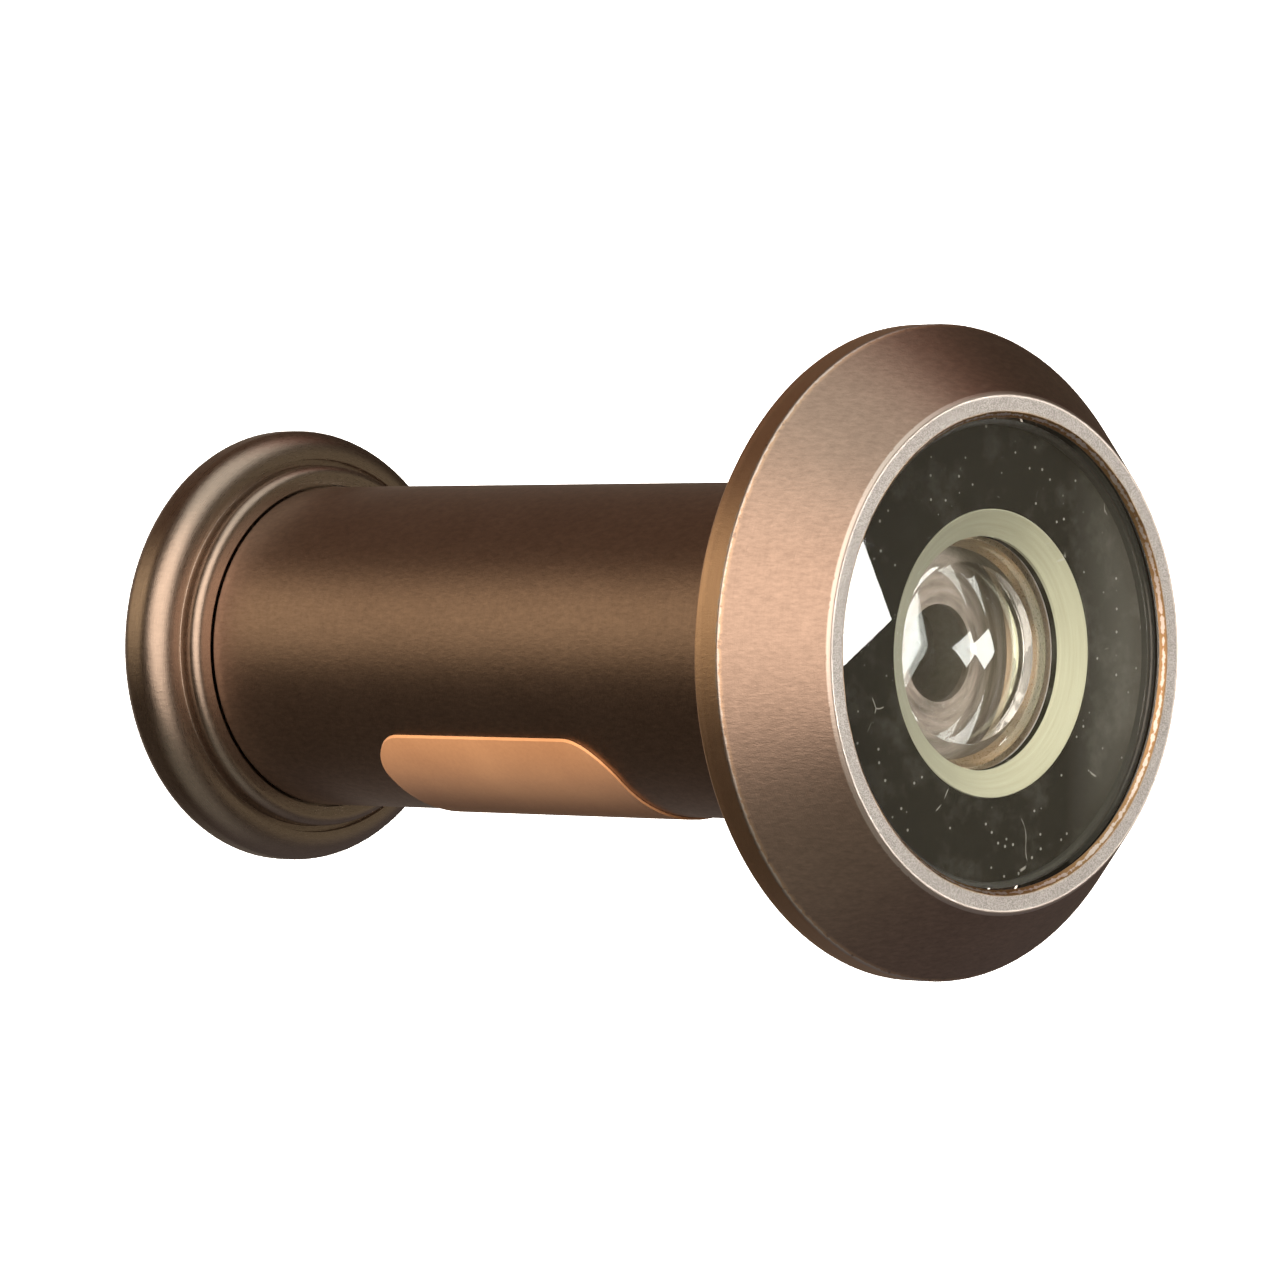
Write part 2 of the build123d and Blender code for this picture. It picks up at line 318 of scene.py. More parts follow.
class Effects:
    """The surface effects that more than one material shares. A scale counts what fits in a metre."""

    ACROSS, ALONG, STREAK_SHARE, PIT_SHARE = 3.1, 2.3, 0.6, 0.4
    STAIN_SCALE, STAIN_RARITY = 420.0, 0.965
    CHIP_SCALE, CHIP_PULL = 3200.0, 0.35
    HAIR_SCALE, HAIR_GATE_SCALE = 330.0, 700.0
    BEND_SCALE, BEND = 260.0, 0.004
    FILM_SCALE = 520.0

    def __init__(self) -> None:
        """Build every shared group."""
        self.grain = Group("turned_grain", {"Fineness": 9000.0, "Streak": 14.0, "Pits": 26000.0}, self._grain)
        self.drawn = Group("level_grain", {"Scale": 2400.0, "Stretch": 3.0}, self._drawn)
        self.mottle = Group("plating_mottle", {"Scale": 220.0, "Contrast": 0.5}, self._mottle)
        self.wear = Group(
            "edge_wear", {"Radius": 13.3, "Place": 0.0, "Width": 0.2, "Density": 0.5}, self._wear
        )
        self.dust = Group("dust", {"Scale": 900.0, "Size": 0.1, "Share": 0.3}, self._dust)

    @staticmethod
    def _about_axis(tree: Tree) -> tuple[Socket, Number, Number]:
        """Return the direction round the barrel axis, the radius and the place along it, in millimetres."""
        x, y, z = tree.parts(tree.spot())
        radius = tree.math("MAXIMUM", tree.hypot(x, z), 1e-5)
        return tree.vector(x / radius, 0.0, z / radius), radius * 1000.0, y * 1000.0

    @classmethod
    def _grain(cls, tree: Tree, given: Numbers) -> Numbers:
        """Make streaks round the axis, as turning leaves them, with the pits of the blast.

        Args:
            tree: The group's tree.
            given: The group's inputs.

        Returns:
            The group's outputs.
        """
        around, radius, place = cls._about_axis(tree)
        turn = tree.number("ShaderNodeVectorMath", {0: around, "Scale": given["Streak"]}, operation="SCALE")
        along = (radius * cls.ACROSS + place * cls.ALONG) * (given["Fineness"] * MM)
        streaks = tree.noise(turn, 1.0, 2.0, 0.6, w=along)
        pits = tree.noise(tree.spot(), given["Pits"], 1.0, 0.5)
        height = streaks * cls.STREAK_SHARE + pits * cls.PIT_SHARE
        return {"Streaks": streaks, "Pits": pits, "Height": height}

    @staticmethod
    def _drawn(tree: Tree, given: Numbers) -> Numbers:
        """Make short streaks that all lie level, as the plating rack leaves them."""
        x, y, z = tree.parts(tree.spot())
        return {"Tone": tree.noise(tree.vector(x, y, z * given["Stretch"]), given["Scale"], 4.0, 0.72)}

    @classmethod
    def _mottle(cls, tree: Tree, given: Numbers) -> Numbers:
        """Make slow changes of tone in the plating, and its small dark stains.

        Args:
            tree: The group's tree.
            given: The group's inputs.

        Returns:
            The group's outputs.
        """
        slow = tree.noise(tree.spot(), given["Scale"], 4.0, 0.55)
        cells = tree.outputs("ShaderNodeTexVoronoi", {"Vector": tree.spot(), "Scale": cls.STAIN_SCALE})
        rare = tree.math("GREATER_THAN", tree.parts(cells["Color"])[0], cls.STAIN_RARITY)
        stain = tree.spread(cells["Distance"], 0.05, 0.02) * rare
        return {"Tone": (slow - 0.5) * given["Contrast"] + 0.5, "Stain": stain}

    @classmethod
    def _wear(cls, tree: Tree, given: Numbers) -> Numbers:
        """Make bare spots along a turned edge at a radius and a place, broken up by noise.

        Args:
            tree: The group's tree.
            given: The group's inputs.

        Returns:
            The group's outputs.
        """
        _, radius, place = cls._about_axis(tree)
        near = 1.0 - tree.hypot(radius - given["Radius"], place - given["Place"]) / given["Width"]
        broken = tree.noise(tree.spot(), cls.CHIP_SCALE, 3.0, 0.65)
        chips = broken + near * cls.CHIP_PULL - (1.0 - given["Density"])
        return {"Mask": tree.spread(chips, 0.0, 0.08) * tree.spread(near, 0.0, 0.3)}

    @classmethod
    def _dust(cls, tree: Tree, given: Numbers) -> Numbers:
        """Make single specks, short hairs and a thin film of dust.

        Args:
            tree: The group's tree.
            given: The group's inputs.

        Returns:
            The group's outputs.
        """
        place = tree.spot()
        cells = tree.outputs("ShaderNodeTexVoronoi", {"Vector": place, "Scale": given["Scale"]})
        pick, second, _ = tree.parts(cells["Color"])
        kept = tree.math("LESS_THAN", pick, given["Share"])
        specks = tree.spread(1.0 - cells["Distance"] / (given["Size"] * (second + 0.4)), 0.0, 0.5) * kept
        warp = tree.add("ShaderNodeTexNoise", {"Vector": place, "Scale": cls.BEND_SCALE, "Detail": 1.0})
        bent = tree.number("ShaderNodeMixRGB", {0: cls.BEND, 1: place, 2: warp.outputs[1]}, blend_type="ADD")
        lines = {"Vector": bent, "Scale": cls.HAIR_SCALE}
        edge = tree.outputs("ShaderNodeTexVoronoi", lines, feature="DISTANCE_TO_EDGE")["Distance"]
        gate = tree.spread(tree.noise(place, cls.HAIR_GATE_SCALE, 1.0, 0.5), 0.66, 0.7)
        film = tree.noise(place, cls.FILM_SCALE, 5.0, 0.65)
        return {"Specks": specks, "Hairs": tree.spread(edge, 0.012, 0.004) * gate, "Film": film}


@dataclass(frozen=True)
class Finish:
    """The base of every finish: a name, and the shared effects it may use."""

    name: str
    effects: Effects

    def inputs(self, tree: Tree) -> dict[str, Value]:
        """Return what the Principled shader takes."""
        raise NotImplementedError

    def build(self) -> Material:
        """Return the new material."""
        material = bpy.data.materials.new(self.name)
        tree = Tree.of(material)
        tree.end("ShaderNodeBsdfPrincipled", self.inputs(tree))
        return material

    @staticmethod
    def bump(tree: Tree, height: Value, strength: float, distance: float = GRAIN_DEPTH) -> Socket:
        """Return the normal of a bump of this height."""
        values = {"Height": height, "Strength": strength, "Distance": distance}
        return tree.add("ShaderNodeBump", values).outputs[0]


@dataclass(frozen=True)
class WornEdge:
    """A turned edge with its plating worn, its place and width in millimetres."""

    radius: float
    place: float
    width: float
    density: float
    colour: Colour = (0.88, 0.62, 0.43)


@dataclass(frozen=True)
class SatinPlate(Finish):
    """Satin bronze plating on turned brass, bare at its edges and silvery on the flat of the crimp."""

    light: Colour = (0.51, 0.385, 0.315)
    dark: Colour = (0.35, 0.255, 0.205)
    silver: Colour = (0.35, 0.322, 0.298)
    stain: Colour = (0.03, 0.015, 0.012)
    roughness: float = 0.36
    silver_roughness: float = 0.42
    streaks: float = 0.16
    drawn_depth: float = 1.5
    has_face: bool = False
    worn_edges: tuple[WornEdge, ...] = ()

    def inputs(self, tree: Tree) -> dict[str, Value]:
        """Return the plated metal, as the base class says."""
        grain = self.effects.grain.place(tree, Pits=21000.0)
        mottle = self.effects.mottle.place(tree, Scale=190.0, Contrast=0.7)
        drawn = self.effects.drawn.place(tree)["Tone"]
        plain = tree.mix(mottle["Tone"], self.dark, self.light)
        colour = tree.times(plain, tree.spread(drawn, *MIDDLE, 1.0 - self.streaks, 1.0 + self.streaks))
        rough = tree.spread(grain["Streaks"], *MIDDLE, self.roughness - 0.05, self.roughness + 0.06)
        if self.has_face:
            face = tree.spread(tree.parts(tree.spot())[1], *FACE_PLANE)
            silver = tree.times(self.silver, tree.spread(grain["Pits"], 0.35, 0.65, 0.7, 1.28))
            colour = tree.mix(face, colour, silver)
            rough += face * (self.silver_roughness - self.roughness)
        for edge in self.worn_edges:
            worn = self.effects.wear.place(
                tree, Radius=edge.radius, Place=edge.place, Width=edge.width, Density=edge.density
            )
            colour = tree.mix(worn["Mask"], colour, edge.colour)
        height = grain["Height"] + drawn * self.drawn_depth
        return {
            "Base Color": tree.mix(mottle["Stain"], colour, self.stain), "Metallic": 1.0,
            "Roughness": rough, "Normal": self.bump(tree, height, 0.35),
        }


@dataclass(frozen=True)
class ClearGlass(Finish):
    """Polished optical glass."""

    tint: Colour = (0.985, 0.99, 0.985)
    ior: float = 1.52
    roughness: float = 0.0
    coat: float = 0.0
    coat_ior: float = 1.6

    def inputs(self, tree: Tree) -> dict[str, Value]:
        """Return the glass, with the faint unevenness of its polish."""
        film = self.effects.dust.place(tree)["Film"]
        return {
            "Base Color": self.tint, "Metallic": 0.0, "IOR": self.ior, "Transmission Weight": 1.0,
            "Roughness": tree.spread(film, 0.45, 0.8, self.roughness, self.roughness + 0.02),
            "Coat Weight": self.coat, "Coat IOR": self.coat_ior, "Coat Roughness": 0.0,
        }


@dataclass(frozen=True)
class Moulded(Finish):
    """Moulded or cast material, with turned rings on its surface and dust on top, and where film is set,
    painted light towards its +X side.
    """

    light: Colour = (0.03, 0.03, 0.025)
    dark: Colour = (0.02, 0.02, 0.018)
    roughness: float = 0.4
    rings: float = 0.15
    dust_share: float = 0.0
    dust_and_light_colour: Colour = (0.5, 0.48, 0.42)
    dust_cover: float = 0.6
    # film: the strength of the dust film and of the painted light towards +X, both in the dust's colour.
    film: float = 0.0
    metallic: float = 0.0
    specular: float = 0.5
    fineness: float = 4200.0

    def inputs(self, tree: Tree) -> dict[str, Value]:
        """Return the moulded material, as the base class says."""
        grain = self.effects.grain.place(tree, Fineness=self.fineness, Streak=1.2, Pits=16000.0)
        colour = tree.mix(tree.spread(grain["Streaks"], *MIDDLE), self.dark, self.light)
        rough = tree.spread(grain["Pits"], *MIDDLE, self.roughness - 0.05, self.roughness + 0.08)
        if self.dust_share > 0:
            dust = self.effects.dust.place(tree, Scale=2400.0, Size=0.15, Share=self.dust_share)
            marks = tree.math("MAXIMUM", dust["Specks"], dust["Hairs"]) * self.dust_cover
            colour = tree.mix(marks, colour, self.dust_and_light_colour)
            rough = tree.math("MAXIMUM", rough, marks)
            # Painted light: the side term lightens the holder towards +X in the dust's colour, as light
            # catching it would; the film noise added to it is dust.
            side = tree.spread(tree.parts(tree.spot())[0], *PAINTED_LIGHT_SIDE)
            dust_and_painted_light = side + tree.spread(dust["Film"], 0.5, 0.8, 0.0, 0.5)
            colour = tree.mix(dust_and_painted_light * self.film, colour, self.dust_and_light_colour)
        return {
            "Base Color": colour, "Metallic": self.metallic, "Roughness": rough,
            "Specular IOR Level": self.specular, "Normal": self.bump(tree, grain["Height"], self.rings),
        }


@dataclass(frozen=True)
class Paper(Finish):
    """Coated label paper."""

    light: Colour = (0.52, 0.25, 0.11)
    dark: Colour = (0.40, 0.18, 0.075)

    def inputs(self, tree: Tree) -> dict[str, Value]:
        """Return the paper, with its fibres and a soft sheen."""
        fibres = tree.noise(tree.spot(), 5200.0, 6.0, 0.7)
        tone = tree.noise(tree.spot(), 180.0, 2.0, 0.5)
        mixed = fibres * 0.35 + tone * 0.65
        return {
            "Base Color": tree.mix(tree.spread(mixed, 0.35, 0.65), self.dark, self.light),
            "Roughness": 0.55, "Sheen Weight": 0.1, "Normal": self.bump(tree, fibres, 0.15, GRAIN_DEPTH / 2),
        }


def rounded(corners: Sequence[tuple[float, ...]], steps: int = 6) -> list[Point]:
    """Return a closed outline with its corners rounded.

    Args:
        corners: Radius and place of each corner, and its rounding where it has one.
        steps: The number of points on each rounded corner, less one.

    Returns:
        The outline's points.
    """
    points: list[Point] = []
    count = len(corners)
    for i, corner in enumerate(corners):
        here = Vector(corner[:2])
        if len(corner) < 3:
            points.append((here.x, here.y))
            continue
        to_last = (Vector(corners[i - 1][:2]) - here).normalized()
        to_next = (Vector(corners[(i + 1) % count][:2]) - here).normalized()
        half = to_last.angle(to_next) / 2
        cut = corner[2] / math.tan(half)
        centre = here + (to_last + to_next).normalized() * (corner[2] / math.sin(half))
        begin, end = here + to_last * cut - centre, here + to_next * cut - centre
        points.append(tuple(here + to_last * (cut + FLAT_KEEPER)))
        for step in range(steps + 1):
            mixed = begin.lerp(end, step / steps).normalized() * corner[2]
            points.append((centre.x + mixed.x, centre.y + mixed.y))
        points.append(tuple(here + to_next * (cut + FLAT_KEEPER)))
    return points


def arc(start: Point, end: Point, tangent: Point, steps: int = 12) -> list[Point]:
    """Return the points of an arc that leaves its start along a tangent.

    Args:
        start: The first point, as radius and place.
        end: The last point.
        tangent: The direction at the start.
        steps: The number of points, less one.

    Returns:
        The points, both ends among them.
    """
    a, b, t = Vector(start), Vector(end), Vector(tangent).normalized()
    side = Vector((-t.y, t.x))
    chord = b - a
    reach = chord.length_squared / (2 * chord.dot(side))
    centre = a + side * reach
    from_angle = math.atan2(a.y - centre.y, a.x - centre.x)
    turn = 2 * math.atan2(chord.dot(side), chord.dot(t))
    radius = abs(reach)
    angles = [from_angle + turn * k / steps for k in range(steps + 1)]
    return [(centre.x + radius * math.cos(v), centre.y + radius * math.sin(v)) for v in angles]


@dataclass(frozen=True)
class Face:
    """A lens face: where its curve ends, and how much nearer the room its rim lies than its middle."""

    rim_y: float
    reach: float = 0.0
    sag: float = 0.0
    steps: int = 40

    def points(self) -> list[Point]:
        """Return its points from the axis outwards, only one for a flat face."""
        if not self.sag:
            return [(0.0, self.rim_y)]
        return arc((0.0, self.rim_y - self.sag), (self.reach, self.rim_y), (1.0, 0.0), self.steps)


@dataclass(frozen=True)
class Lens:
    """A lens, by its radius and its faces towards the outside and the room."""

    radius: float
    front: Face
    back: Face

    def section(self) -> list[Point]:
        """Return half its section."""
        rim = [(self.radius, face.rim_y) for face in (self.front, self.back)]
        return [*self.front.points(), *rim, *reversed(self.back.points())]


def in_scene(name: str, data: bpy.types.ID) -> Piece:
    """Return a new object in the scene, with this data.

    Args:
        name: The object's name.
        data: Its mesh, light or camera.

    Returns:
        The object.
    """
    piece = bpy.data.objects.new(name, data)
    bpy.context.scene.collection.objects.link(piece)
    return piece


def as_piece(name: str, shape: bmesh.types.BMesh) -> Piece:
    """Turn a shape into a new object with its faces outwards.

    Args:
        name: The object's name.
        shape: The shape, which is used up.

    Returns:
        The object, in the scene.
    """
    bmesh.ops.recalc_face_normals(shape, faces=shape.faces)
    mesh = bpy.data.meshes.new(name)
    shape.to_mesh(mesh)
    shape.free()
    return in_scene(name, mesh)


def turned(name: str, outline: Sequence[Point], segments: int = 256,
           uneven: Callable[[Vector], Vector] | None = None) -> Piece:
    """Return a piece turned about the Y axis.

    Args:
        name: The piece's name.
        outline: Half its section, as radius and place in millimetres. It is closed, and may lie on the axis.
        segments: The steps round the axis.
        uneven: Moves each point a little, for hand work that isn't quite round.

    Returns:
        The new object, with its place in its mesh.
    """
    shape = bmesh.new()
    loops: list[list[bmesh.types.BMVert]] = []
    for radius, place in outline:
        if radius < 1e-6:
            loops.append([shape.verts.new((0.0, place * MM, 0.0))])
            continue
        loop = []
        for k in range(segments):
            angle = 2 * math.pi * k / segments
            spot = Vector((radius * math.cos(angle), place, radius * math.sin(angle)))
            loop.append(shape.verts.new((uneven(spot) if uneven else spot) * MM))
        loops.append(loop)
    for first, second in zip(loops, loops[1:] + loops[:1]):
        for k in range(segments):
            n = (k + 1) % segments
            if len(first) == 1 and len(second) == 1:
                break
            if len(first) == 1:
                shape.faces.new((first[0], second[k], second[n]))
            elif len(second) == 1:
                shape.faces.new((first[k], second[0], first[n]))
            else:
                shape.faces.new((first[k], second[k], second[n], first[n]))
    piece = as_piece(name, shape)
    piece.data.shade_smooth()
    piece.data.set_sharp_from_angle(angle=math.radians(SHARP_BEND))
    return piece


def hand_over(piece: Piece, node: str, body: Body, material: Material) -> None:
    """Dress a new piece and let it stand for a CAD node.

    Args:
        piece: The new piece.
        node: The CAD node that it replaces.
        body: The body that it rides on.
        material: Its material.
    """
    piece.data.materials.clear()
    piece.data.materials.append(material)
    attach(piece, body.value)
    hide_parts(node)
    log.info("%s stands for %s: %d faces", piece.name, node, len(piece.data.polygons))


def dress(node: str, material: Material) -> None:
    """Give a CAD node that stays its material."""
    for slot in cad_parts[node].material_slots:
        slot.material = material
    log.info("%s keeps its CAD shape", node)


@dataclass
class FrontHalf:
    """The outer barrel with its bevelled flange, and the label on it.

    The crimp has its unevenness in layers, each with its fineness, its seed and its depth.
    """

    barrel_r: float = 7.0
    barrel_length: float = 35.4
    flange_r: float = 13.3
    flange_rim: float = 1.3
    face_y: float = -4.7
    silver_ring_r: float = 10.4
    silver_inner_r: float = 9.70
    glass_view_r: float = 9.48
    cover_front_y: float = -4.48
    lip: float = 0.03
    pocket_r: float = 9.62
    pocket_y: float = -1.2
    holder_bore_r: float = 5.65
    thread_bore_r: float = 6.05
    bore_step_y: float = 5.8
    relief_length: float = 1.2
    relief_depth: float = 0.3
    crimp_start: float = 0.04
    crimp_width: float = 0.2
    crimp: tuple[Triple, ...] = ((0.9, 3.0, 0.035), (3.1, 7.0, 0.018))
    segments: int = 320

    def outline(self) -> list[Point]:
        """Return half the section of the barrel."""
        relief_r, relief_end = self.thread_bore_r + self.relief_depth, self.bore_step_y + self.relief_length
        return rounded([
            (self.glass_view_r, self.cover_front_y + self.lip),
            (self.glass_view_r, self.cover_front_y, 0.02),
            (self.silver_inner_r, self.face_y, 0.06),
            (self.silver_ring_r, self.face_y, 0.12),
            (self.flange_r, -self.flange_rim, 0.14),
            (self.flange_r, 0.0, 0.14),
            (self.barrel_r, 0.0),
            (self.barrel_r, self.barrel_length, 0.06),
            (self.thread_bore_r, self.barrel_length, 0.1),
            (self.thread_bore_r, relief_end),
            (relief_r, relief_end),
            (relief_r, self.bore_step_y),
            (self.holder_bore_r, self.bore_step_y),
            (self.holder_bore_r, self.pocket_y),
            (self.pocket_r, self.pocket_y),
            (self.pocket_r, self.cover_front_y + self.lip),
        ])

    def crimped(self, spot: Vector) -> Vector:
        """Move a point of the rolled edge a little, as the rolling tool leaves it.

        Args:
            spot: A point of the barrel, in millimetres.

        Returns:
            Its new place.
        """
        radius = math.hypot(spot.x, spot.z)
        if spot.y > self.cover_front_y - self.crimp_start or radius > self.silver_inner_r + self.crimp_width:
            return spot
        shake = 0.0
        for fine, seed, depth in self.crimp:
            shake += noise.noise(Vector((spot.x * fine, spot.z * fine, seed))) * depth
        factor = (radius + shake) / radius
        return Vector((spot.x * factor, spot.y, spot.z * factor))

    def build(self, plate: Material, paper: Material) -> None:
        """Build and dress the barrel, and dress the label."""
        piece = turned("outer_barrel_turned", self.outline(), self.segments, self.crimped)
        hand_over(piece, "outer_barrel", Body.BARREL, plate)
        dress("barrel_label", paper)


@dataclass
class LensCell:
    """The cover glass, its gasket, the holder, the ivory funnel and the three lenses with their rings."""

    cover_r: float = 9.57
    cover_front_y: float = -4.48
    cover_back_y: float = -3.78
    cover_chamfer: float = 0.15
    lens_bore_r: float = 4.9
    spigot_r: float = 5.6
    holder_front_y: float = -3.38
    holder_face_r: float = 9.05
    holder_end_y: float = 3.0
    holder_mouth_r: float = 4.72
    pocket_y: float = -1.2
    collar_r: float = 5.82
    collar_fit: float = 0.02
    collar_front_y: float = -3.46
    collar_fall: float = 0.59
    collar_back_y: float = -2.71
    objective: Lens = Lens(4.85, Face(-2.404, 4.7, 1.276), Face(-1.15, 3.4, 0.8))
    second: Lens = Lens(4.85, Face(-0.62, 4.0, -0.07), Face(0.1))
    third: Lens = Lens(4.85, Face(0.4), Face(0.8, 3.8, -0.7))
    spacer_mouth_r: float = 4.3
    spacer_throat_r: float = 3.8
    stop_hole_r: float = 1.9
    air: float = 0.01

    def cover(self) -> list[Point]:
        """Return half the section of the cover glass."""
        return [
            (0.0, self.cover_front_y), (self.cover_r, self.cover_front_y),
            (self.cover_r, self.cover_back_y - self.cover_chamfer),
            (self.cover_r - self.cover_chamfer, self.cover_back_y), (0.0, self.cover_back_y),
        ]

    def holder(self) -> list[Point]:
        """Return half the section of the holder."""
        seat_r, lip_y = self.collar_r + self.collar_fit, self.objective.front.rim_y - self.air
        return rounded([
            (seat_r, self.collar_front_y, 0.03), (self.holder_face_r, self.holder_front_y),
            (self.cover_r, self.holder_front_y, 0.05), (self.cover_r, self.pocket_y, 0.05),
            (self.spigot_r, self.pocket_y), (self.spigot_r, self.holder_end_y, 0.12),
            (self.lens_bore_r, self.holder_end_y), (self.lens_bore_r, lip_y),
            (self.holder_mouth_r, lip_y), (self.holder_mouth_r, self.collar_back_y),
            (seat_r, self.collar_back_y),
        ])

    def collar(self) -> list[Point]:
        """Return half the section of the ivory funnel."""
        return rounded([
            (self.holder_mouth_r, self.collar_front_y + self.collar_fall, 0.03),
            (self.collar_r, self.collar_front_y, 0.04), (self.collar_r, self.collar_back_y),
            (self.holder_mouth_r, self.collar_back_y),
        ])

    def ring(self, before: Face, behind: Face, front_r: float, back_r: float) -> list[Point]:
        """Return half the section of a ring that fills the room between two lenses.

        Args:
            before: The lens face in front of it.
            behind: The lens face behind it.
            front_r: The radius of its hole in front.
            back_r: The radius of its hole behind.

        Returns:
            The section, clear of both faces by the air.
        """
        front, back, outer = before.rim_y + self.air, behind.rim_y - self.air, self.objective.radius
        return [(front_r, front), (outer, front), (outer, back), (back_r, back)]

    def sections(self) -> dict[str, tuple[str, Slot, list[Point]]]:
        """Return how each piece is made, its slot and half its section, under its node."""
        spacer = self.ring(self.objective.back, self.second.front, self.spacer_mouth_r, self.spacer_throat_r)
        stop = self.ring(self.second.back, self.third.front, self.stop_hole_r, self.stop_hole_r)
        return {
            "front_glass": ("polished", Slot.COVER, self.cover()),
            "lens_holder": ("moulded", Slot.BLACK, self.holder()),
            "lens_collar": ("moulded", Slot.IVORY, self.collar()),
            "objective_lens": ("polished", Slot.LENS, self.objective.section()),
            "second_lens": ("polished", Slot.LENS, self.second.section()),
            "third_lens": ("polished", Slot.LENS, self.third.section()),
            "lens_spacer": ("turned", Slot.BRASS, spacer),
            "field_stop": ("turned", Slot.DULL, stop),
        }

    def grind(self, lens: Piece, ground: Material) -> None:
        """Give the edge of a lens its ground finish.

        Args:
            lens: The lens, dressed.
            ground: The finish of its edge.
        """
        lens.data.materials.append(ground)
        points, edge = lens.data.vertices, (self.objective.radius - self.air) * MM
        for face in lens.data.polygons:
            if all(math.hypot(points[k].co.x, points[k].co.z) > edge for k in face.vertices):
                face.material_index = 1

    def build(self, materials: Mapping[Slot, Material], coated: Material, ground: Material) -> None:
        """Build and dress every turned piece of the cell, and dress the two plain rings.

        Args:
            materials: The finish of each slot.
            coated: The finish of the first lens.
            ground: The finish of its edge.
        """
        for node, (made, slot, outline) in self.sections().items():
            piece = turned(f"{node}_{made}", outline)
            is_first = node == "objective_lens"
            hand_over(piece, node, Body.BARREL, coated if is_first else materials[slot])
            piece.visible_shadow = slot not in (Slot.COVER, Slot.LENS)
            if is_first:
                self.grind(piece, ground)
        for node, slot in (("glass_gasket", Slot.RUBBER), ("lens_clamp_ring", Slot.BLACKENED)):
            dress(node, materials[slot])


